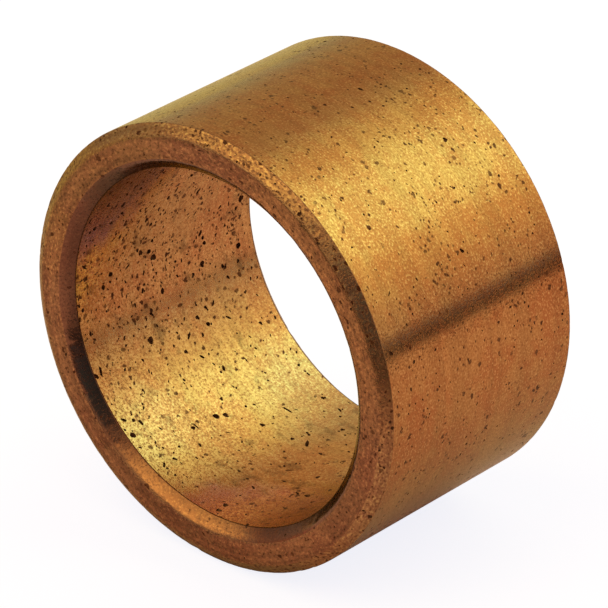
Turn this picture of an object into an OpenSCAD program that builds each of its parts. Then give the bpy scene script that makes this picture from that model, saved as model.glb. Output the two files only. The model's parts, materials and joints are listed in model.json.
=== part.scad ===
// Plain sleeve bushing of pressed and sintered bronze.
//
// It is one ring of porous metal, with no seam, groove or flange. A shaft turns
// in the bore on oil that the pores hold, and the outside is pressed into a
// housing. The axis lies along Y, and the origin is the middle of the bore.

/* [Sleeve] */
// Diameter of the shaft that turns in the bore
shaft_d = 12.7; // [6:0.1:13.5]
// Diameter of the housing hole that the sleeve is pressed into
housing_d = 15.875; // [15.5:0.005:25]
// Length from end face to end face
sleeve_length = 9.525; // [4:0.025:40]

/* [Fits] */
// Running clearance, on the diameter of the bore
running_clearance = 0.04; // [0.02:0.01:0.1]
// Extra size for the press fit, on the diameter of the outside wall
press_allowance = 0.06; // [0.02:0.01:0.1]

/* [Edges] */
// Width of the 45 degree chamfer on both outside edges
outer_chamfer = 0.4; // [0.1:0.05:0.45]
// Width of the 45 degree chamfer at both mouths of the bore
bore_chamfer = 0.4; // [0.1:0.05:0.45]
// Facets round the ring
ring_facets = 180; // [48:12:360]

/* [Hidden] */

bore_r = (shaft_d + running_clearance) / 2;
outer_r = (housing_d + press_allowance) / 2;
half_length = sleeve_length / 2;
bronze_colour = [0.80, 0.52, 0.25];

// One half of the wall's section, from the bore to the outside at the upper end.
function upper_half_section() = [
    [bore_r, half_length - bore_chamfer],
    [bore_r + bore_chamfer, half_length],
    [outer_r - outer_chamfer, half_length],
    [outer_r, half_length - outer_chamfer]
];

// The whole section: the upper half, then its mirror image back to the bore.
function wall_section() =
    let (upper = upper_half_section())
    concat(upper, [for (i = [len(upper) - 1:-1:0]) [upper[i][0], -upper[i][1]]]);

// The ring: the wall's section turned about the axis, then laid along Y.
module sleeve() {
    color(bronze_colour)
        rotate([-90, 0, 0])
            rotate_extrude($fn = ring_facets)
                polygon(wall_section());
}

sleeve();
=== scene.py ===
"""Studio picture of a plain sintered bronze sleeve bushing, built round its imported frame.

The sleeve is one ring of pressed bronze powder. It lies on its side, with its bore along Y. Geometry
Nodes turn its wall's section into the ring, roughen its pressed ends and cut its open pores. Five
finishes of the bronze dress it, one each for the outside wall, the bore, the end faces, the outer
chamfers and the mouths of the bore, and a sixth lines the pores.
"""

import json
import logging
import math
from collections.abc import Iterable
from dataclasses import dataclass
from enum import IntEnum

import bpy
import numpy as np
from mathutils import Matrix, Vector

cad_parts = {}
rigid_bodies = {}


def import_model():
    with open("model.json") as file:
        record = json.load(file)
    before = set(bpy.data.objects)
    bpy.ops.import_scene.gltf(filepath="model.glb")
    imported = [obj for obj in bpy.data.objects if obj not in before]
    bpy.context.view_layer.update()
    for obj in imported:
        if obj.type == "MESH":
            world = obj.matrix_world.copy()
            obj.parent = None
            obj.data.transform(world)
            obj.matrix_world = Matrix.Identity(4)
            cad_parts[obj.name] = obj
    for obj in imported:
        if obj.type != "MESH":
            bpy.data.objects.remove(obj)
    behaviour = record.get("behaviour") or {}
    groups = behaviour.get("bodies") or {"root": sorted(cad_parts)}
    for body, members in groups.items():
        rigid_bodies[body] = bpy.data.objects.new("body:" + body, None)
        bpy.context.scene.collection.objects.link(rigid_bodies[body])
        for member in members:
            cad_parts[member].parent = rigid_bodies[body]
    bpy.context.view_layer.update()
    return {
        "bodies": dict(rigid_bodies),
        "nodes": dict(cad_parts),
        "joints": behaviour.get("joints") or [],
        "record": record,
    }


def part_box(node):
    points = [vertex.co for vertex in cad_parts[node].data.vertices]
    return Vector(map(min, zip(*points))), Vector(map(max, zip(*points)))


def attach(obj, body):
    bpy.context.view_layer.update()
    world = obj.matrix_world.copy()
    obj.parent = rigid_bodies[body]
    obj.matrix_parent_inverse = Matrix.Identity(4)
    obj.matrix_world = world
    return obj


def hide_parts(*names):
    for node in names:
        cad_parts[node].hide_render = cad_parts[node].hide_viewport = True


LOG = logging.getLogger("sleeve_bushing")
MM = 0.001

Colour = tuple[float, float, float]
Direction = tuple[float, float, float]
Sizes = bpy.types.bpy_prop_collection
Socket = bpy.types.NodeSocket
Value = Socket | float | int | bool | str | tuple | None


class Zone(IntEnum):
    """The kinds of surface on the sleeve, in the order of its material slots."""

    OUTSIDE = 0
    BORE = 1
    FACE = 2
    LIP = 3
    MOUTH = 4
    PORE = 5


class NodeGraph:
    """Adds nodes to one tree and wires them, for geometry, materials and the world alike."""

    def __init__(self, tree: bpy.types.NodeTree) -> None:
        """Keep the tree that the nodes go into.

        Args:
            tree: A node tree of any kind, emptied first.
        """
        tree.nodes.clear()
        self.tree = tree

    def add(self, kind: str, inputs: dict[int | str, Value] | None = None,
            **settings: object) -> bpy.types.Node:
        """Add one node.

        Args:
            kind: The node's type name.
            inputs: Input sockets by name or number, each given a socket to link or a plain value.
            **settings: Properties of the node itself, such as operation.

        Returns:
            The new node.
        """
        node = self.tree.nodes.new(kind)
        for name, setting in settings.items():
            setattr(node, name, setting)
        for key, value in (inputs or {}).items():
            self.feed(node.inputs[key], value)
        return node

    def feed(self, socket: Socket, value: Value) -> None:
        """Link a socket to an input, or set the input's own value.

        Args:
            socket: The input.
            value: A socket to link, a plain value, or None to leave the input as it is.
        """
        if isinstance(value, Socket):
            self.tree.links.new(value, socket)
        elif value is not None:
            socket.default_value = value

    @staticmethod
    def in_use(sockets: Iterable[Socket], name: str) -> Socket:
        """Return the socket of that name which the node's settings leave in use."""
        return next(socket for socket in sockets if socket.enabled and socket.name == name)

    def math(self, operation: str, a: Value, b: Value = None, c: Value = None) -> Socket:
        """Return the result of a Math node on one, two or three values."""
        return self.add("ShaderNodeMath", {0: a, 1: b, 2: c}, operation=operation).outputs[0]

    def product(self, first: Value, *others: Value) -> Socket:
        """Multiply numbers together.

        Args:
            first: A number.
            *others: One or more further numbers.

        Returns:
            Their product.
        """
        result = first
        for other in others:
            result = self.math("MULTIPLY", result, other)
        return result

    def choose(self, test: Value, otherwise: Value, if_true: Value) -> Socket:
        """Return one of two numbers, as a test says."""
        return self.add("GeometryNodeSwitch", {"Switch": test, "False": otherwise, "True": if_true},
                        input_type="FLOAT").outputs[0]

    def vector(self, operation: str, a: Value, b: Value = None) -> Socket:
        """Return the result of a Vector Math node, a number where the operation gives one."""
        node = self.add("ShaderNodeVectorMath", {0: a, 1: b}, operation=operation)
        return node.outputs["Value" if operation in {"DOT_PRODUCT", "LENGTH", "DISTANCE"} else "Vector"]

    def scaled(self, a: Value, factor: Value) -> Socket:
        """Return a vector times a number."""
        return self.add("ShaderNodeVectorMath", {0: a, "Scale": factor}, operation="SCALE").outputs["Vector"]

    def part(self, a: Value, axis: int) -> Socket:
        """Return one part of a vector: 0 for X, 1 for Y and 2 for Z."""
        return self.add("ShaderNodeSeparateXYZ", {0: a}).outputs[axis]

    def joined(self, x: Value = None, y: Value = None, z: Value = None) -> Socket:
        """Return a vector made of its parts."""
        return self.add("ShaderNodeCombineXYZ", {0: x, 1: y, 2: z}).outputs[0]

    def ramp(self, value: Value, low: float, high: float, start: float = 0.0, end: float = 1.0,
             kind: str = "SMOOTHSTEP") -> Socket:
        """Return a value carried from the range low..high to start..end, smoothly by default."""
        return self.add("ShaderNodeMapRange", {
            "Value": value,
            "From Min": low,
            "From Max": high,
            "To Min": start,
            "To Max": end,
        }, interpolation_type=kind).outputs[0]

    def noise(self, place: Value, grain: float, detail: float = 2.0, roughness: float = 0.5) -> Socket:
        """Return noise from 0 to 1 whose features are about a grain's width, in metres, across."""
        return self.add("ShaderNodeTexNoise", {
            "Vector": place, "Scale": 1.0 / grain, "Detail": detail, "Roughness": roughness}).outputs[0]

    def mix(self, factor: Value, a: Value, b: Value, blend: str = "MIX") -> Socket:
        """Return two colours mixed by a factor."""
        return self.add("ShaderNodeMix", {0: factor, 6: a, 7: b}, data_type="RGBA",
                        blend_type=blend).outputs[2]

    def position(self) -> Socket:
        """Return the place of a point of the geometry."""
        return self.add("GeometryNodeInputPosition").outputs[0]

    def across(self, place: Value) -> Socket:
        """Return a place with its part along the bore's axis taken away."""
        return self.vector("MULTIPLY", place, (1.0, 0.0, 1.0))

    def crowded(self, place: Value, away: float, there: float) -> Socket:
        """Return a number that differs on the side of the ring where the pores crowd.

        Args:
            place: The place on the ring.
            away: The number on the rest of the ring.
            there: The number in the middle of the crowded side.

        Returns:
            The number, which changes smoothly between the two.
        """
        crowded_side = (-0.94, 0.0, 0.34)
        facing = self.vector("DOT_PRODUCT", self.vector("NORMALIZE", self.across(place)), crowded_side)
        return self.ramp(facing, 0.35, 0.90, away, there)


def new_material(name: str) -> tuple[bpy.types.Material, NodeGraph]:
    """Start a material.

    Args:
        name: The finish's name.

    Returns:
        The material and its empty graph of nodes.
    """
    material = bpy.data.materials.new(name)
    material.use_nodes = True
    return material, NodeGraph(material.node_tree)


@dataclass(frozen=True)
class PaintedLightPatch:
    """A soft patch of painted light and shade on the metal: its middle, size and colour."""

    place: tuple[float, float, float]
    core: float
    edge: float
    colour: Colour
    ragged: float = 0.8 * MM
    lobes: float = 0.7 * MM

    def laid_on(self, graph: NodeGraph, place: Value, base: Value) -> Socket:
        """Multiply a colour by the patch's own, fully in its core and not at all past its edge.

        Args:
            graph: The material's nodes.
            place: Object coordinates.
            base: The colour under the patch.

        Returns:
            The colour with the patch on it.
        """
        wander = graph.math("MULTIPLY_ADD", graph.noise(place, self.lobes, 3.0), 2.0 * self.ragged,
                            -self.ragged)
        away = graph.math("ADD", graph.vector("DISTANCE", place, self.place), wander)
        cover = graph.ramp(away, self.core, self.edge, 1.0, 0.0)
        return graph.mix(cover, base, (*self.colour, 1.0), "MULTIPLY")


@dataclass(frozen=True)
class BronzeFinish:
    """One finish of the bronze: its tones, its gloss, and the relief and pores of its grain.

    The metal shows copper and brass tones in clouds. Flat, shiny tops of powder grains stand between
    small duller hollows, and grain and pores are drawn out a little round the ring. A thin film of oil
    lies over it all.
    """

    name: str
    copper: Colour
    brass: Colour
    pale: Colour
    shade: Colour
    gloss: float
    hollow_gloss: float
    relief: float
    speck_share: float
    coarse_share: float
    fine_cell: float = 0.13 * MM
    coarse_cell: float = 0.24 * MM
    speck_colour: Colour = (0.085, 0.024, 0.007)
    speck_dullness: float = 0.3
    smallest_speck: float = 0.13
    largest_speck: float = 0.38
    speck_softness: float = 0.08
    faintest_speck: float = 0.6
    wander_rate: float = 1.6
    wander_reach: float = 0.85
    clump: float = 0.8 * MM
    clump_swing: float = 0.8
    crowding: float = 0.0
    cloud: float = 2.6 * MM
    cloud_share: float = 0.6
    patch: float = 0.50 * MM
    grain: float = 0.080 * MM
    drawn_out: float = 1.1
    band: float = 0.28 * MM
    band_length: float = 40.0
    band_depth: float = 0.12
    smear: float = 0.75 * MM
    stain: float = 0.0
    # painted shade towards the bore's edge: its depth, where it starts and ends, and how its border wavers
    bore_edge_shade: float = 1.0
    edge_shade_start: float = 0.10 * MM
    edge_shade_end: float = 0.50 * MM
    edge_shade_lobes: float = 0.3 * MM
    edge_shade_waver: float = 0.2 * MM
    edge_tint: Colour = (0.80, 0.88, 0.58)
    oil: float = 0.25
    oil_gloss: float = 0.25
    oil_index: float = 1.45
    mean_radius: float = 7.2 * MM
    # patches of painted light and shade, laid over the metal's colour
    painted_light_patches: tuple[PaintedLightPatch, ...] = ()

    def unrolled(self, graph: NodeGraph, place: Value, drawn_out: float) -> Socket:
        """Unroll a place to a flat strip.

        Args:
            graph: The material's nodes.
            place: Object coordinates.
            drawn_out: How many times longer round the ring than along it a pattern becomes.

        Returns:
            The length round the ring, the length along it, and the radius.
        """
        turn = graph.math("ARCTAN2", graph.part(place, 2), graph.part(place, 0))
        round_length = graph.math("MULTIPLY", turn, self.mean_radius / drawn_out)
        radius = graph.vector("LENGTH", graph.across(place))
        return graph.joined(round_length, graph.part(place, 1), radius)

    def metal(self, graph: NodeGraph, place: Value, strip: Value) -> Socket:
        """Build the bare metal's colour: clouds of copper and brass, then pale and dark grains.

        Args:
            graph: The material's nodes.
            place: Object coordinates.
            strip: The place on the unrolled wall.

        Returns:
            The colour.
        """
        clouds = graph.math("MULTIPLY", graph.noise(place, self.cloud, 3.0), self.cloud_share)
        patches = graph.math("MULTIPLY", graph.noise(place, self.patch, 3.0), 1.0 - self.cloud_share)
        tone = graph.math("ADD", clouds, patches)
        base = graph.mix(graph.ramp(tone, 0.40, 0.60), (*self.copper, 1.0), (*self.brass, 1.0))
        flecks = graph.noise(strip, self.grain, 2.0, 0.6)
        base = graph.mix(graph.ramp(flecks, 0.52, 0.70), base, (*self.pale, 1.0))
        return graph.mix(graph.ramp(flecks, 0.46, 0.30), base, (*self.shade, 1.0))

    def colour(self, graph: NodeGraph, place: Value, strip: Value, bore_r: float) -> Socket:
        """Build the whole colour: the metal, its painted patches of light and shade, faint bands round the
        ring, dark smears, and painted shade towards the bore's edge.

        Args:
            graph: The material's nodes.
            place: Object coordinates.
            strip: The place on the unrolled wall.
            bore_r: The bore's radius, where the painted shade of an end is at its deepest.

        Returns:
            The colour.
        """
        base = self.metal(graph, place, strip)
        # painted light and shade: each patch lightens or darkens the metal's colour at one place
        for painted_light_tone in self.painted_light_patches:
            base = painted_light_tone.laid_on(graph, place, base)
        bands = graph.noise(self.unrolled(graph, place, self.band_length), self.band)
        dim = graph.ramp(bands, 0.40, 0.65, 1.0, 1.0 - self.band_depth)
        smears = graph.noise(place, self.smear, 4.0, 0.65)
        oily = graph.ramp(smears, 0.54, 0.70, 1.0, 1.0 - self.stain)
        # painted shade: the end darkens towards the bore's edge
        waver = graph.noise(place, self.edge_shade_lobes, 3.0)
        radius = graph.math("MULTIPLY_ADD", waver, self.edge_shade_waver, graph.part(strip, 2))
        painted_edge_shade = graph.ramp(radius, bore_r + self.edge_shade_start, bore_r + self.edge_shade_end, self.bore_edge_shade, 1.0)
        return graph.scaled(base, graph.product(dim, oily, painted_edge_shade))

    def specks(self, graph: NodeGraph, place: Value, strip: Value, width: float, share: float) -> Socket:
        """Build pores too small for the mesh: up to 1 inside a speck, and 0 on the metal.

        Args:
            graph: The material's nodes.
            place: Object coordinates.
            strip: The place on the unrolled wall.
            width: The width of the cells that hold one speck each.
            share: The share of the cells that hold one.

        Returns:
            The depth of shade.
        """
        wander = graph.add("ShaderNodeTexNoise", {"Vector": strip, "Scale": self.wander_rate / width})
        bent = graph.vector("ADD", strip, graph.scaled(wander.outputs["Color"], self.wander_reach * width))
        cells = graph.add("ShaderNodeTexVoronoi", {"Vector": bent, "Scale": 1.0 / width})
        draw = graph.add("ShaderNodeSeparateColor", {0: cells.outputs["Color"]}).outputs
        clumps = graph.math("MULTIPLY_ADD", graph.noise(place, self.clump), self.clump_swing,
                            -self.clump_swing / 2.0)
        side = graph.crowded(place, -self.crowding, self.crowding)
        chance = graph.math("ADD", graph.math("ADD", draw[0], clumps), side)
        size = graph.ramp(chance, 1.0 - share, 1.0, self.smallest_speck, self.largest_speck, "LINEAR")
        is_open = graph.math("GREATER_THAN", chance, 1.0 - share)
        gap = graph.math("SUBTRACT", size, cells.outputs["Distance"])
        inside = graph.ramp(gap, -self.speck_softness, self.speck_softness)
        depth = graph.math("MULTIPLY_ADD", draw[1], 1.0 - self.faintest_speck, self.faintest_speck)
        return graph.product(inside, is_open, depth)

    def make(self, bore_r: float) -> bpy.types.Material:
        """Build the material.

        Args:
            bore_r: The bore's radius.

        Returns:
            The finished material.
        """
        material, graph = new_material(self.name)
        place = graph.add("ShaderNodeTexCoord").outputs["Object"]
        strip = self.unrolled(graph, place, self.drawn_out)
        fine = self.specks(graph, place, strip, self.fine_cell, self.speck_share)
        coarse = self.specks(graph, place, strip, self.coarse_cell, self.coarse_share)
        specks = graph.math("MAXIMUM", fine, coarse)
        colour = graph.mix(specks, self.colour(graph, place, strip, bore_r), (*self.speck_colour, 1.0))
        hollows = graph.ramp(graph.noise(strip, self.grain, 1.0), 0.50, 0.34)
        gloss = graph.math("ADD", graph.ramp(hollows, 0.0, 1.0, self.gloss, self.hollow_gloss, "LINEAR"),
                           graph.math("MULTIPLY", specks, self.speck_dullness))
        height = graph.math("MULTIPLY", graph.math("ADD", hollows, specks), -1.0)
        bump = graph.add("ShaderNodeBump", {"Height": height, "Strength": 1.0, "Distance": self.relief})
        shader = graph.add("ShaderNodeBsdfPrincipled", {
            "Base Color": colour,
            "Metallic": 1.0,
            "Roughness": gloss,
            "Specular Tint": (*self.edge_tint, 1.0),
            "Coat Weight": self.oil,
            "Coat Roughness": self.oil_gloss,
            "Coat IOR": self.oil_index,
            "Normal": bump.outputs[0],
        })
        graph.add("ShaderNodeOutputMaterial", {"Surface": shader.outputs[0]})
        return material


@dataclass(frozen=True)
class PoreLining:
    """The dark, oily inside of a pore that is deep enough to be part of the mesh."""

    name: str = "pore_lining"
    deep: Colour = (0.05, 0.018, 0.008)
    light: Colour = (0.17, 0.068, 0.025)
    patch: float = 0.05 * MM
    metallic: float = 0.5
    roughness: float = 0.55

    def make(self) -> bpy.types.Material:
        """Build the material: dark brown metal, a little lighter here and there.

        Returns:
            The finished material.
        """
        material, graph = new_material(self.name)
        place = graph.add("ShaderNodeTexCoord").outputs["Object"]
        colour = graph.mix(graph.noise(place, self.patch), (*self.deep, 1.0), (*self.light, 1.0))
        shader = graph.add("ShaderNodeBsdfPrincipled", {
            "Base Color": colour, "Metallic": self.metallic, "Roughness": self.roughness})
        graph.add("ShaderNodeOutputMaterial", {"Surface": shader.outputs[0]})
        return material


@dataclass(frozen=True)
class PoreField:
    """How the open pores of one zone are strewn: how many, how large and how long.

    They crowd on one side of the ring: thin_side and thick_side multiply their number away from it
    and on it.
    """

    zone: Zone
    seed: int
    per_mm2: float
    smallest: float
    spread: float
    largest: float
    stretch: float = 0.8
    clumping: float = 0.8
    thin_side: float = 1.0
    thick_side: float = 1.0
    clump: float = 0.55 * MM
    slimmest: float = 4.2
    depth: float = 1.1
    large: float = 0.070 * MM

    def density(self, graph: NodeGraph) -> Socket:
        """Build the number of pores in a square metre, more in clumps and on the crowded side.

        Args:
            graph: The pore tree's nodes.

        Returns:
            The number.
        """
        place = graph.position()
        clumps = graph.ramp(graph.noise(place, self.clump), 0.35, 0.65, 1.0 - self.clumping,
                            1.0 + self.clumping)
        side = graph.crowded(place, self.thin_side, self.thick_side)
        return graph.product(clumps, side, self.per_mm2 / MM ** 2)

    def draw(self, graph: NodeGraph, step: int) -> Socket:
        """Return a number drawn for each pore, from just above 0 to 1."""
        return graph.add("FunctionNodeRandomValue", {2: 0.004, 3: 1.0, "Seed": self.seed + step},
                         data_type="FLOAT").outputs[1]

    def size(self, graph: NodeGraph) -> tuple[Socket, Socket]:
        """Draw each pore's size: many small ones and few large ones, most of them a little long.

        Args:
            graph: The pore tree's nodes.

        Returns:
            The pore's mean radius, and its scale along, across and into the wall.
        """
        grown = graph.math("MULTIPLY", graph.math("LOGARITHM", self.draw(graph, 1), math.e), -self.spread)
        radius = graph.math("MINIMUM", graph.math("ADD", grown, self.smallest), self.largest)
        longer = graph.math("MULTIPLY", graph.math("LOGARITHM", self.draw(graph, 2), math.e),
                            -self.stretch * 0.5)
        slim = graph.math("MINIMUM", graph.math("ADD", 1.0, longer), self.slimmest)
        root = graph.math("SQRT", slim)
        scale = graph.joined(graph.math("MULTIPLY", radius, root), graph.math("DIVIDE", radius, root),
                             graph.math("MULTIPLY", radius, self.depth))
        return radius, scale

    def rotation(self, graph: NodeGraph, upright: Socket) -> Socket:
        """Turn each pore's length round the ring, give or take a radian.

        Args:
            graph: The pore tree's nodes.
            upright: The rotation that stands a pore on its wall.

        Returns:
            The whole rotation.
        """
        place = graph.position()
        round_way = graph.vector("CROSS_PRODUCT", (0.0, 1.0, 0.0), place)
        drawn = graph.add("FunctionNodeAlignRotationToVector", {
            "Rotation": upright, "Vector": round_way}, axis="X", pivot_axis="Z")
        angle = graph.math("MULTIPLY_ADD", self.draw(graph, 3), 2.0, -1.0)
        spin = graph.add("FunctionNodeEulerToRotation", {0: graph.joined(z=angle)})
        return graph.add("FunctionNodeRotateRotation", {0: drawn.outputs[0], 1: spin.outputs[0]},
                         rotation_space="LOCAL").outputs[0]

    def strew(self, graph: NodeGraph, ring: Socket, crumbs: dict[int, Socket]) -> list[Socket]:
        """Set crumbs into this zone of the ring, where they will open its pores.

        Args:
            graph: The pore tree's nodes.
            ring: The ring's mesh.
            crumbs: Crumb shapes by fineness, 1 for small pores and 2 for large ones.

        Returns:
            The instances, small ones first.
        """
        spots = graph.add("GeometryNodeDistributePointsOnFaces", {
            "Mesh": ring,
            "Selection": is_zone(graph, self.zone),
            "Density": self.density(graph),
            "Seed": self.seed,
        }, distribute_method="RANDOM")
        radius, scale = self.size(graph)
        rotation = self.rotation(graph, spots.outputs["Rotation"])
        is_large = graph.math("GREATER_THAN", radius, self.large)
        is_small = graph.math("SUBTRACT", 1.0, is_large)
        groups = []
        for fineness, wanted in ((1, is_small), (2, is_large)):
            pick = graph.add("FunctionNodeRandomValue", {4: 0, 5: 2, "Seed": self.seed + 9},
                             data_type="INT")
            groups.append(graph.add("GeometryNodeInstanceOnPoints", {
                "Points": spots.outputs[0],
                "Selection": wanted,
                "Instance": crumbs[fineness],
                "Pick Instance": True,
                "Instance Index": pick.outputs[2],
                "Rotation": rotation,
                "Scale": scale,
            }).outputs[0])
        return groups


@dataclass
class SinteredSleeve:
    """The sleeve: a ring with chamfered edges, roughened ends and open pores.

    The outer chamfers run less far along the axis, by lip_run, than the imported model's 45 degree ones,
    and they are as wide on the end. Corners are rounded too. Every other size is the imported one.
    """

    bore_r: float
    outer_r: float
    length: float
    bore_chamfer: float
    outer_chamfer: float
    lip_run: float = 0.29 * MM
    outside_edge_round: float = 0.05 * MM
    lip_face_round: float = 0.34 * MM
    mouth_face_round: float = 0.42 * MM
    bore_edge_round: float = 0.08 * MM
    facets: int = 440
    row_spacing: float = 0.095 * MM
    wall_rows: int = 8
    grain_width: float = 0.22 * MM
    grain_depth: float = 0.009 * MM
    grain_start: float = -0.06 * MM
    grain_full: float = 0.03 * MM
    nick_width: float = 0.45 * MM
    nick_depth: float = 0.035 * MM
    crumb_lump: float = 1.1
    crumb_unevenness: float = 0.38
    pores: tuple[PoreField, ...] = (
        PoreField(Zone.OUTSIDE, 11, per_mm2=1.7, smallest=0.030 * MM, spread=0.012 * MM,
                  largest=0.09 * MM, stretch=1.1),
        PoreField(Zone.BORE, 23, per_mm2=3.9, smallest=0.036 * MM, spread=0.019 * MM,
                  largest=0.13 * MM, stretch=1.9, clumping=0.95, thin_side=0.62, thick_side=1.60),
        PoreField(Zone.FACE, 37, per_mm2=0.7, smallest=0.030 * MM, spread=0.012 * MM, largest=0.08 * MM),
        PoreField(Zone.LIP, 41, per_mm2=3.2, smallest=0.034 * MM, spread=0.012 * MM, largest=0.08 * MM),
        PoreField(Zone.MOUTH, 53, per_mm2=0.4, smallest=0.030 * MM, spread=0.010 * MM, largest=0.06 * MM),
    )

    @classmethod
    def from_frame(cls, frame: dict) -> "SinteredSleeve":
        """Take the sleeve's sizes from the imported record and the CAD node's box.


        Returns:
            The sleeve, in metres.
        """
        mounts = {mount["name"]: mount["dims"] for mount in frame["record"]["mounts"]}
        low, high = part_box("sleeve")
        length = high[1] - low[1]
        return cls(
            bore_r=mounts["bore"]["r_mm"] * MM,
            outer_r=mounts["housing_seat"]["r_mm"] * MM,
            length=length,
            bore_chamfer=(length - mounts["bore"]["length_mm"] * MM) / 2.0,
            outer_chamfer=(length - mounts["housing_seat"]["length_mm"] * MM) / 2.0,
        )

    def sizes(self) -> dict[str, float | int]:
        """Return the sizes that the ring's tree takes, by the names of its inputs."""
        return {
            "Bore Radius": self.bore_r,
            "Outer Radius": self.outer_r,
            "Length": self.length,
            "Bore Chamfer": self.bore_chamfer,
            "Outer Chamfer": self.outer_chamfer,
            "Lip Run": self.lip_run,
            "Outside Edge Round": self.outside_edge_round,
            "Lip Face Round": self.lip_face_round,
            "Mouth Face Round": self.mouth_face_round,
            "Bore Edge Round": self.bore_edge_round,
            "Row Spacing": self.row_spacing,
            "Wall Rows": self.wall_rows,
            "Facets": self.facets,
        }

    @staticmethod
    def chamfered(graph: NodeGraph, sizes: Sizes, corner: Socket) -> Socket:
        """Draw the wall's section as a closed curve, its outer chamfers shorter along the axis.

        Args:
            graph: The ring tree's nodes.
            sizes: The tree's inputs by name.
            corner: The place of a point of the curve.

        Returns:
            The curve, with X across the wall and Y along the bore's axis.
        """
        wall = graph.math("SUBTRACT", sizes["Outer Radius"], sizes["Bore Radius"])
        block = graph.add("GeometryNodeCurvePrimitiveQuadrilateral",
                          {"Width": wall, "Height": sizes["Length"]})
        side = graph.part(corner, 0)
        is_outer = graph.math("GREATER_THAN", side, 0.0)
        chamfer = graph.choose(is_outer, sizes["Bore Chamfer"], sizes["Outer Chamfer"])
        cut = graph.add("GeometryNodeFilletCurve", {
            "Curve": block.outputs[0], "Count": 1, "Radius": chamfer}, mode="POLY")
        nearly_half = 0.495
        on_wall = graph.math("GREATER_THAN", side, graph.math("MULTIPLY", wall, nearly_half))
        longer = graph.math("SUBTRACT", sizes["Outer Chamfer"], sizes["Lip Run"])
        shift = graph.math("MULTIPLY", longer, graph.math("SIGN", graph.part(corner, 1)))
        return graph.add("GeometryNodeSetPosition", {
            "Geometry": cut.outputs[0], "Selection": on_wall, "Offset": graph.joined(y=shift)}).outputs[0]

    def section(self, graph: NodeGraph, sizes: Sizes) -> Socket:
        """Draw the wall's section with soft corners and rows of points close together on the ends.

        Args:
            graph: The ring tree's nodes.
            sizes: The tree's inputs by name.

        Returns:
            The closed curve.
        """
        corner = graph.position()
        edged = self.chamfered(graph, sizes, corner)
        is_outer = graph.math("GREATER_THAN", graph.part(corner, 0), 0.0)
        along = graph.math("ABSOLUTE", graph.part(corner, 1))
        nearly_half = 0.49
        end = graph.math("MULTIPLY", sizes["Length"], nearly_half)
        on_face = graph.math("GREATER_THAN", along, end)
        inner_round = graph.choose(on_face, sizes["Bore Edge Round"],
                                   sizes["Mouth Face Round"])
        outer_round = graph.choose(on_face, sizes["Outside Edge Round"],
                                   sizes["Lip Face Round"])
        softened = graph.add("GeometryNodeFilletCurve", {
            "Curve": edged, "Count": 3, "Radius": graph.choose(is_outer, inner_round, outer_round),
        }, mode="POLY").outputs[0]
        points = graph.add("GeometryNodeAttributeDomainSize", {"Geometry": softened}, component="CURVE")
        index = graph.add("GeometryNodeInputIndex").outputs[0]
        following = graph.math("MODULO", graph.math("ADD", index, 1.0), points.outputs["Point Count"])
        after = graph.add("GeometryNodeFieldAtIndex", {"Index": following}, data_type="FLOAT_VECTOR")
        graph.feed(graph.in_use(after.inputs, "Value"), corner)
        step = graph.vector("DISTANCE", corner, graph.in_use(after.outputs, "Value"))
        rows = graph.math("FLOOR", graph.math("DIVIDE", step, sizes["Row Spacing"]))
        cuts = graph.math("MINIMUM", rows, sizes["Wall Rows"])
        return graph.add("GeometryNodeSubdivideCurve", {"Curve": softened, "Cuts": cuts}).outputs[0]

    def ring_tree(self) -> bpy.types.NodeTree:
        """Build the tree that sweeps the section round the bore and marks each face's zone.

        Returns:
            The geometry node tree, with its sizes as named inputs.
        """
        tree = bpy.data.node_groups.new("turned_ring", "GeometryNodeTree")
        tree.interface.new_socket("Geometry", in_out="OUTPUT", socket_type="NodeSocketGeometry")
        for name, size in self.sizes().items():
            kind = "NodeSocketInt" if isinstance(size, int) else "NodeSocketFloat"
            tree.interface.new_socket(name, in_out="INPUT", socket_type=kind)
        graph = NodeGraph(tree)
        sizes = graph.add("NodeGroupInput").outputs
        middle = graph.math("MULTIPLY", 0.5, graph.math(
            "ADD", sizes["Bore Radius"], sizes["Outer Radius"]))
        rail = graph.add("GeometryNodeCurvePrimitiveCircle",
                         {"Resolution": sizes["Facets"], "Radius": middle})
        level = graph.add("GeometryNodeSetCurveNormal", {"Curve": rail.outputs[0]}, mode="Z_UP")
        ring = graph.add("GeometryNodeCurveToMesh", {
            "Curve": level.outputs[0], "Profile Curve": self.section(graph, sizes)})
        lying = graph.add("GeometryNodeTransform", {
            "Geometry": ring.outputs[0], "Rotation": (math.pi / 2.0, 0.0, 0.0)})
        marked = self.mark_zones(graph, lying.outputs[0], sizes)
        graph.add("NodeGroupOutput", {0: self.roughen_ends(graph, marked, sizes)})
        return tree

    @staticmethod
    def mark_zones(graph: NodeGraph, ring: Socket, sizes: Sizes) -> Socket:
        """Store on each face of the clean ring which zone it is in.

        Args:
            graph: The ring tree's nodes.
            ring: The ring's mesh.
            sizes: The tree's inputs by name.

        Returns:
            The marked mesh.
        """
        out = graph.vector("LENGTH", graph.across(graph.position()))
        bore, outer = sizes["Bore Radius"], sizes["Outer Radius"]
        near = 0.001 * MM
        is_outside = graph.math("GREATER_THAN", out, graph.math("SUBTRACT", outer, near))
        is_bore = graph.math("LESS_THAN", out, graph.math("ADD", bore, near))
        lip_from = graph.math("SUBTRACT", outer, sizes["Outer Chamfer"])
        is_lip = graph.math("GREATER_THAN", out, lip_from)
        mouth_to = graph.math("ADD", bore, sizes["Bore Chamfer"])
        is_mouth = graph.math("LESS_THAN", out, mouth_to)
        zone: Value = float(Zone.FACE)
        for test, other in ((is_lip, Zone.LIP), (is_mouth, Zone.MOUTH), (is_outside, Zone.OUTSIDE),
                            (is_bore, Zone.BORE)):
            zone = graph.choose(test, zone, float(other))
        return store_zone(graph, ring, zone)

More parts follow.
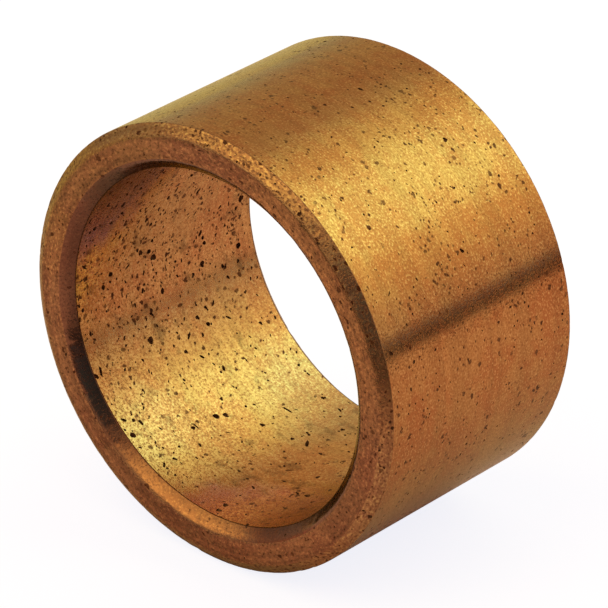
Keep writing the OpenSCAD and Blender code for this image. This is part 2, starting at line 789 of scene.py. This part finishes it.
    def roughen_ends(self, graph: NodeGraph, ring: Socket, sizes: Sizes) -> Socket:
        """Press grain and small nicks into the faces and chamfers, and leave the two walls true.

        Args:
            graph: The ring tree's nodes.
            ring: The ring's mesh.
            sizes: The tree's inputs by name.

        Returns:
            The roughened mesh.
        """
        place = graph.position()
        along = graph.math("ABSOLUTE", graph.part(place, 1))
        half = graph.math("MULTIPLY", sizes["Length"], 0.5)
        past = graph.math("SUBTRACT", along, graph.math("SUBTRACT", half, sizes["Lip Run"]))
        share = graph.ramp(past, self.grain_start, self.grain_full)
        grain = graph.math("MULTIPLY_ADD", graph.noise(place, self.grain_width), 2.0 * self.grain_depth,
                           -self.grain_depth)
        nicks = graph.ramp(graph.noise(place, self.nick_width), 0.58, 0.75, 0.0, self.nick_depth)
        depth = graph.math("MULTIPLY", graph.math("ADD", grain, nicks), share)
        normal = graph.add("GeometryNodeInputNormal").outputs[0]
        offset = graph.scaled(normal, graph.math("MULTIPLY", depth, -1.0))
        return graph.add("GeometryNodeSetPosition", {"Geometry": ring, "Offset": offset}).outputs[0]

    def crumb(self, graph: NodeGraph, fineness: int, seed: int) -> Socket:
        """Build one uneven closed crumb of unit size, the shape of the gap between powder grains.

        Args:
            graph: The pore tree's nodes.
            fineness: How many times the ball's faces are divided.
            seed: Which shape it is.

        Returns:
            The crumb, as an instance.
        """
        ball = graph.add("GeometryNodeMeshIcoSphere", {"Radius": 1.0, "Subdivisions": fineness})
        place = graph.position()
        shifted = graph.vector("ADD", place, (3.7 * seed, 1.3 * seed, 2.1 * seed))
        lump = graph.ramp(graph.noise(shifted, self.crumb_lump, 1.0), 0.3, 0.7, -self.crumb_unevenness,
                          self.crumb_unevenness, "LINEAR")
        moved = graph.add("GeometryNodeSetPosition", {
            "Geometry": ball.outputs[0], "Offset": graph.scaled(place, lump)})
        zoned = store_zone(graph, moved.outputs[0], int(Zone.PORE))
        return graph.add("GeometryNodeGeometryToInstance", {0: zoned}).outputs[0]

    def pore_tree(self, finishes: dict[Zone, bpy.types.Material]) -> bpy.types.NodeTree:
        """Build the tree that cuts the pores out of the ring and dresses every zone.

        Args:
            finishes: The material of each zone.

        Returns:
            The geometry node tree.
        """
        tree = bpy.data.node_groups.new("open_pores", "GeometryNodeTree")
        tree.interface.new_socket("Geometry", in_out="OUTPUT", socket_type="NodeSocketGeometry")
        tree.interface.new_socket("Geometry", in_out="INPUT", socket_type="NodeSocketGeometry")
        graph = NodeGraph(tree)
        ring = graph.add("NodeGroupInput").outputs["Geometry"]
        crumbs = {}
        for fineness in (1, 2):
            shapes = graph.add("GeometryNodeJoinGeometry")
            for seed in (1, 2, 3):
                graph.feed(shapes.inputs[0], self.crumb(graph, fineness, seed + 3 * fineness))
            crumbs[fineness] = shapes.outputs[0]
        cutters = graph.add("GeometryNodeJoinGeometry")
        for field in self.pores:
            for group in field.strew(graph, ring, crumbs):
                graph.feed(cutters.inputs[0], group)
        cut = graph.add("GeometryNodeMeshBoolean", {"Mesh 1": ring, "Mesh 2": cutters.outputs[0]},
                        operation="DIFFERENCE", solver="MANIFOLD")
        dressed = graph.add("GeometryNodeRealizeInstances", {0: cut.outputs[0]}).outputs[0]
        for zone in Zone:
            dressed = graph.add("GeometryNodeSetMaterial", {
                "Geometry": dressed,
                "Selection": is_zone(graph, zone),
                "Material": finishes[zone],
            }).outputs[0]
        graph.add("NodeGroupOutput", {0: dressed})
        return tree

    def build(self, finishes: dict[Zone, bpy.types.Material]) -> bpy.types.Object:
        """Run both trees and keep their result as one plain mesh.

        Args:
            finishes: The material of each zone.

        Returns:
            The sleeve's object, at the origin.
        """
        blank = bpy.data.objects.new("sleeve_blank", bpy.data.meshes.new("sleeve_blank"))
        bpy.context.scene.collection.objects.link(blank)
        ring = blank.modifiers.new("turned_ring", "NODES")
        ring.node_group = self.ring_tree()
        sizes = self.sizes()
        for item in ring.node_group.interface.items_tree:
            if item.name in sizes:
                ring[item.identifier] = sizes[item.name]
        pores = blank.modifiers.new("open_pores", "NODES")
        pores.node_group = self.pore_tree(finishes)
        evaluated = blank.evaluated_get(bpy.context.evaluated_depsgraph_get())
        mesh = bpy.data.meshes.new_from_object(evaluated)
        bpy.data.objects.remove(blank)
        mesh.name = "sintered_sleeve"
        self.shade(mesh)
        sleeve = bpy.data.objects.new("sintered_sleeve", mesh)
        bpy.context.scene.collection.objects.link(sleeve)
        return sleeve

    @staticmethod
    def read(items: bpy.types.bpy_prop_collection, name: str, count: int, kind: type = float) -> np.ndarray:
        """Read one property of every item of a mesh.

        Args:
            items: Faces, corners, points or an attribute's values.
            name: The property's name.
            count: How many numbers it has in all.
            kind: Their type.

        Returns:
            A flat array.
        """
        values = np.empty(count, dtype=kind)
        items.foreach_get(name, values)
        return values

    def shade(self, mesh: bpy.types.Mesh) -> None:
        """Give every corner its normal: true to the cylinder on the walls, averaged in each zone elsewhere.

        Args:
            mesh: The cut mesh, with its zone on every face.
        """
        faces, corners, points = len(mesh.polygons), len(mesh.loops), len(mesh.vertices)
        zone = self.read(mesh.attributes["zone"].data, "value", faces, np.int32)
        sizes = self.read(mesh.polygons, "loop_total", faces, np.int32)
        flat = self.read(mesh.polygons, "normal", faces * 3).reshape(-1, 3)
        area = self.read(mesh.polygons, "area", faces)
        place = self.read(mesh.vertices, "co", points * 3).reshape(-1, 3)
        at = self.read(mesh.loops, "vertex_index", corners, np.int32)
        owner = np.repeat(np.arange(faces), sizes)
        in_pore = zone[owner] == Zone.PORE
        group = at + points * in_pore
        total = np.zeros((2 * points, 3))
        np.add.at(total, group, flat[owner] * area[owner, None])
        normal = total[group]
        for side, sign in ((Zone.OUTSIDE, 1.0), (Zone.BORE, -1.0)):
            wall = zone[owner] == side
            normal[wall] = place[at[wall]] * (sign, 0.0, sign)
        tiny = 1e-12
        length = np.linalg.norm(normal, axis=1, keepdims=True)
        normal = np.where(length > 0.0, normal / np.maximum(length, tiny), flat[owner])
        mesh.polygons.foreach_set("use_smooth", np.ones(faces, dtype=bool))
        mesh.normals_split_custom_set(normal)


def store_zone(graph: NodeGraph, mesh: Socket, zone: Value) -> Socket:
    """Store a zone number on every face of a mesh and return the mesh."""
    return graph.add("GeometryNodeStoreNamedAttribute", {"Geometry": mesh, "Name": "zone", "Value": zone},
                     data_type="INT", domain="FACE").outputs[0]


def is_zone(graph: NodeGraph, zone: Zone) -> Socket:
    """Build the test that a face is in a zone.

    Args:
        graph: A geometry tree's nodes.
        zone: The zone.

    Returns:
        The test.
    """
    stored = graph.add("GeometryNodeInputNamedAttribute", {"Name": "zone"}, data_type="INT")
    mark = graph.in_use(stored.outputs, "Attribute")
    return graph.add("FunctionNodeCompare", {2: mark, 3: int(zone)}, data_type="INT",
                     operation="EQUAL").outputs[0]


def direction(azimuth: float, elevation: float = 0.0) -> Vector:
    """Return a direction from two angles in degrees; azimuth 0 is towards -Y and 90 towards +X."""
    turn, lift = math.radians(azimuth), math.radians(elevation)
    return Vector((math.sin(turn) * math.cos(lift), -math.cos(turn) * math.cos(lift), math.sin(lift)))


@dataclass(frozen=True)
class Glow:
    """A soft patch of the light tent: where it is, how wide, and its colour."""

    azimuth: float
    elevation: float
    core: float
    edge: float
    colour: Colour

    def share(self, graph: NodeGraph, way: Value) -> Socket:
        """Return how much of the patch is seen in a direction: 1 in its core, and 0 past its edge."""
        towards = graph.vector("DOT_PRODUCT", way, tuple(direction(self.azimuth, self.elevation)))
        return graph.ramp(towards, math.cos(math.radians(self.edge)), math.cos(math.radians(self.core)))


@dataclass(frozen=True)
class LightTent:
    """The tent of light round the sleeve: an even glow, bright and dark patches, and a gap at the floor."""

    left_glow: Colour = (0.52, 0.43, 0.32)
    right_glow: Colour = (0.76, 0.54, 0.37)
    bright: tuple[Glow, ...] = (
        Glow(158.0, 43.0, 6.0, 44.0, (0.52, 0.52, 0.17)),
        Glow(156.0, 43.0, 2.0, 23.0, (0.36, 0.70, 0.42)),
        Glow(-32.0, 46.0, 12.0, 42.0, (1.32, 1.00, 0.33)),
    )
    dark: tuple[Glow, ...] = (
        Glow(38.0, 10.0, 13.0, 36.0, (0.09, 0.115, 0.13)),
        Glow(-142.0, 24.0, 4.0, 28.0, (0.56, 0.36, 0.21)),
    )
    gap: Colour = (0.20, 0.15, 0.18)
    gap_bottom: float = 0.015
    gap_top: float = 0.090

    def make(self, gap_side: Direction) -> bpy.types.World:
        """Build the tent as the world's light.

        Args:
            gap_side: The direction in which the dark gap at the floor's far end lies.

        Returns:
            The world.
        """
        world = bpy.data.worlds.new("light_tent")
        world.use_nodes = True
        graph = NodeGraph(world.node_tree)
        way = graph.add("ShaderNodeTexCoord").outputs["Generated"]
        rightwards = graph.ramp(graph.part(way, 0), -0.7, 0.6)
        light = graph.mix(rightwards, (*self.left_glow, 1.0), (*self.right_glow, 1.0))
        for glow in self.bright:
            light = graph.mix(glow.share(graph, way), light, (*glow.colour, 1.0), "ADD")
        for glow in self.dark:
            light = graph.mix(glow.share(graph, way), light, (*glow.colour, 1.0))
        low = graph.ramp(graph.part(way, 2), self.gap_bottom, self.gap_top, 1.0, 0.0)
        sides = graph.ramp(graph.vector("DOT_PRODUCT", way, gap_side), -0.10, 0.25)
        light = graph.mix(graph.math("MULTIPLY", low, sides), light, (*self.gap, 1.0))
        seen = graph.add("ShaderNodeLightPath").outputs["Is Camera Ray"]
        shown = graph.mix(seen, light, (1.0, 1.0, 1.0, 1.0))
        shader = graph.add("ShaderNodeBackground", {"Color": shown, "Strength": 1.0})
        graph.add("ShaderNodeOutputWorld", {"Surface": shader.outputs[0]})
        return world


@dataclass(frozen=True)
class WhitePaper:
    """The floor's paper: white to the camera, while the metal sees painted shade on it, darker a little way
    off, and a painted tint of warm bounce light.
    """

    # painted shade on the paper, seen only off the camera's rays: darker towards the camera and the far end
    near_start: float = 0.020
    near_end: float = 0.045
    near_painted_shade: float = 0.10
    far_start: float = 0.085
    far_end: float = 0.150
    far_painted_shade: float = 0.12
    left_way: Direction = (-0.87, 0.50, 0.0)
    left_start: float = 0.015
    left_end: float = 0.045
    # painted tints of bounce light and shade on the paper
    painted_light_tone: Colour = (0.78, 0.58, 0.70)
    left_painted_light_tone: Colour = (0.72, 0.65, 0.52)
    bounce: Colour = (0.25, 0.25, 0.25)
    white: Colour = (0.98, 1.0, 1.08)
    white_strength: float = 0.84

    def make(self, front: Direction, gap_side: Direction) -> bpy.types.Material:
        """Build the material.

        Args:
            front: The direction towards the camera, along the floor.
            gap_side: The direction of the paper's far end.

        Returns:
            The finished material.
        """
        material, graph = new_material("white_paper")
        place = graph.add("ShaderNodeTexCoord").outputs["Object"]
        forward = graph.vector("DOT_PRODUCT", place, front)
        # painted shade: the paper darkens a little way towards the camera and towards its far end
        near = graph.ramp(forward, self.near_start, self.near_end, 1.0, self.near_painted_shade)
        sideways = graph.vector("DOT_PRODUCT", place, gap_side)
        far = graph.ramp(sideways, self.far_start, self.far_end, 1.0, self.far_painted_shade)
        leftwards = graph.ramp(graph.vector("DOT_PRODUCT", place, self.left_way), self.left_start,
                               self.left_end)
        # painted tint of bounce light and shade, which the camera never sees
        painted_light_tone = graph.mix(leftwards, (*self.painted_light_tone, 1.0), (*self.left_painted_light_tone, 1.0))
        painted_shade_sheet = graph.scaled(painted_light_tone, graph.math("MINIMUM", near, far))
        seen = graph.add("ShaderNodeLightPath").outputs["Is Camera Ray"]
        bounce = graph.add("ShaderNodeBsdfDiffuse", {
            "Color": graph.mix(seen, painted_shade_sheet, (*self.bounce, 1.0))})
        white = graph.add("ShaderNodeEmission", {
            "Color": (*self.white, 1.0), "Strength": graph.math("MULTIPLY", seen, self.white_strength)})
        both = graph.add("ShaderNodeAddShader", {0: bounce.outputs[0], 1: white.outputs[0]})
        graph.add("ShaderNodeOutputMaterial", {"Surface": both.outputs[0]})
        return material


@dataclass
class Studio:
    """The camera, the pale floor and the light tent round them."""

    floor_z: float
    floor_size: float = 3.0
    distance: float = 0.1699
    azimuth: float = 41.91
    elevation: float = 28.10
    lens: float = 299.3
    sensor_width: float = 36.0
    aim_right: float = 0.069 * MM
    aim_up: float = -0.041 * MM
    gap_side: Direction = (0.985, 0.174, 0.0)
    paper: WhitePaper = WhitePaper()
    tent: LightTent = LightTent()

    def camera(self) -> None:
        """Place the camera on its circle round the sleeve and make it the scene's own."""
        back = direction(self.azimuth, self.elevation)
        right = direction(self.azimuth + 90.0)
        aim = right * self.aim_right + back.cross(right) * self.aim_up
        data = bpy.data.cameras.new("camera")
        data.sensor_width = self.sensor_width
        data.lens = self.lens
        data.clip_start = 0.005
        data.clip_end = 20.0
        camera = bpy.data.objects.new("camera", data)
        camera.location = aim + back * self.distance
        camera.rotation_euler = back.to_track_quat("Z", "Y").to_euler()
        bpy.context.scene.collection.objects.link(camera)
        bpy.context.scene.camera = camera

    def floor(self) -> None:
        """Lay the floor under the sleeve."""
        half = self.floor_size / 2.0
        mesh = bpy.data.meshes.new("floor")
        corners = [(x * half, y * half, self.floor_z) for x, y in ((-1, -1), (1, -1), (1, 1), (-1, 1))]
        mesh.from_pydata(corners, [], [(0, 1, 2, 3)])
        mesh.materials.append(self.paper.make(tuple(direction(self.azimuth)), self.gap_side))
        floor = bpy.data.objects.new("floor", mesh)
        bpy.context.scene.collection.objects.link(floor)

    def set_up(self) -> None:
        """Build the whole studio and its plain view of colours."""
        self.camera()
        self.floor()
        bpy.context.scene.world = self.tent.make(self.gap_side)
        bpy.context.scene.view_settings.view_transform = "Standard"


def painted_light_tone(x: float, y: float, z: float, core: float, edge: float, colour: Colour) -> PaintedLightPatch:
    """Return a patch of painted light and shade from its place and sizes in millimetres."""
    return PaintedLightPatch((x * MM, y * MM, z * MM), core * MM, edge * MM, colour)


# The patches listed under each finish are painted light and shade, not the metal's own tone.
FINISHES: dict[Zone, BronzeFinish] = {
    Zone.OUTSIDE: BronzeFinish(
        name="sized_outside",
        copper=(0.490, 0.212, 0.074), brass=(0.540, 0.302, 0.108),
        pale=(0.740, 0.480, 0.205), shade=(0.355, 0.165, 0.058),
        gloss=0.13, hollow_gloss=0.24, relief=0.0012 * MM, grain=0.070 * MM,
        speck_share=0.13, coarse_share=0.14, coarse_cell=0.21 * MM,
        edge_tint=(0.86, 1.0, 0.78)),
    Zone.BORE: BronzeFinish(
        name="sized_bore",
        copper=(0.580, 0.292, 0.118), brass=(0.630, 0.395, 0.160),
        pale=(0.780, 0.550, 0.250), shade=(0.455, 0.235, 0.098),
        gloss=0.23, hollow_gloss=0.38, relief=0.0022 * MM,
        speck_share=0.12, coarse_share=0.34, fine_cell=0.14 * MM, coarse_cell=0.25 * MM,
        stain=0.40, crowding=0.09, edge_tint=(0.84, 0.79, 0.64),
        # painted light and shade on the bore
        painted_light_patches=(
            painted_light_tone(-4.5, -4.6, 4.5, 3.0, 4.4, (0.66, 0.72, 2.10)),
            painted_light_tone(1.7, -4.4, -6.1, 2.2, 3.8, (0.98, 0.82, 1.90)),
            painted_light_tone(-6.2, -4.4, 1.4, 0.6, 1.8, (0.90, 0.83, 1.30)),
            painted_light_tone(-4.3, -3.4, -4.7, 0.8, 2.4, (1.05, 1.15, 1.30)),
            painted_light_tone(-2.2, 3.6, -5.9, 1.2, 3.4, (0.97, 1.12, 1.35)),
            painted_light_tone(0.2, 1.5, -6.36, 2.0, 4.2, (1.15, 1.16, 1.05)),
        )),
    Zone.FACE: BronzeFinish(
        name="pressed_face",
        copper=(0.325, 0.154, 0.082), brass=(0.388, 0.216, 0.107),
        pale=(0.590, 0.345, 0.162), shade=(0.197, 0.095, 0.053),
        gloss=0.26, hollow_gloss=0.42, relief=0.0050 * MM,
        speck_share=0.16, coarse_share=0.12,
        # painted shade towards the bore's edge
        band_depth=0.30, stain=0.20, bore_edge_shade=0.85, drawn_out=1.35,
        # painted light and shade on the end faces
        painted_light_patches=(
            painted_light_tone(5.4, -4.76, 4.6, 3.0, 5.5, (1.22, 1.22, 1.08)),
            painted_light_tone(-5.0, -4.76, 5.0, 2.0, 4.5, (0.89, 0.93, 0.84)),
            painted_light_tone(6.2, -4.76, -3.6, 0.7, 1.9, (0.78, 0.78, 0.80)),
            painted_light_tone(-6.9, -4.76, 1.9, 0.7, 1.7, (1.22, 1.35, 1.15)),
        )),
    Zone.LIP: BronzeFinish(
        name="pressed_lip",
        copper=(0.315, 0.150, 0.074), brass=(0.375, 0.200, 0.090),
        pale=(0.550, 0.345, 0.145), shade=(0.187, 0.087, 0.045),
        gloss=0.28, hollow_gloss=0.50, relief=0.0048 * MM,
        speck_share=0.34, coarse_share=0.36, coarse_cell=0.20 * MM,
        band_depth=0.20, drawn_out=1.35,
        # painted light and shade on the outer chamfers
        painted_light_patches=(
            painted_light_tone(7.2, -4.56, -2.9, 1.2, 3.2, (1.15, 1.32, 1.38)),
            painted_light_tone(2.9, -4.56, -7.2, 0.8, 2.4, (0.75, 0.80, 0.82)),
        )),
    Zone.MOUTH: BronzeFinish(
        name="coined_mouth",
        copper=(0.205, 0.094, 0.056), brass=(0.240, 0.120, 0.070),
        pale=(0.300, 0.160, 0.090), shade=(0.150, 0.072, 0.045),
        gloss=0.16, hollow_gloss=0.28, relief=0.0020 * MM,
        speck_share=0.10, coarse_share=0.06,
        # painted shade towards the bore's edge
        band_depth=0.20, bore_edge_shade=0.66, oil=0.5, edge_tint=(0.80, 0.95, 0.85), drawn_out=1.35,
        # painted light and shade on the mouths of the bore
        painted_light_patches=(
            painted_light_tone(-1.7, -4.56, -6.35, 2.6, 4.4, (1.50, 1.35, 1.00)),
            painted_light_tone(-4.7, -4.56, 4.7, 0.5, 1.6, (0.66, 0.75, 0.68)),
            painted_light_tone(-4.5, -4.56, -4.8, 0.4, 1.4, (0.85, 0.75, 0.76)),
            painted_light_tone(3.3, -4.56, -5.7, 0.8, 2.4, (0.93, 0.58, 0.42)),
        )),
}


def main() -> None:
    """Load the frame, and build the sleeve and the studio."""
    logging.basicConfig(level=logging.INFO, format="%(name)s: %(message)s")
    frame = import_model()
    sleeve = SinteredSleeve.from_frame(frame)
    finishes = {zone: finish.make(sleeve.bore_r) for zone, finish in FINISHES.items()}
    finishes[Zone.PORE] = PoreLining().make()
    piece = sleeve.build(finishes)
    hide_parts("sleeve")
    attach(piece, "root")
    LOG.info("%s: %d faces, %d triangles", piece.name, len(piece.data.polygons),
             sum(len(face.vertices) - 2 for face in piece.data.polygons))
    Studio(floor_z=-sleeve.outer_r).set_up()


if __name__ == "__main__":
    main()
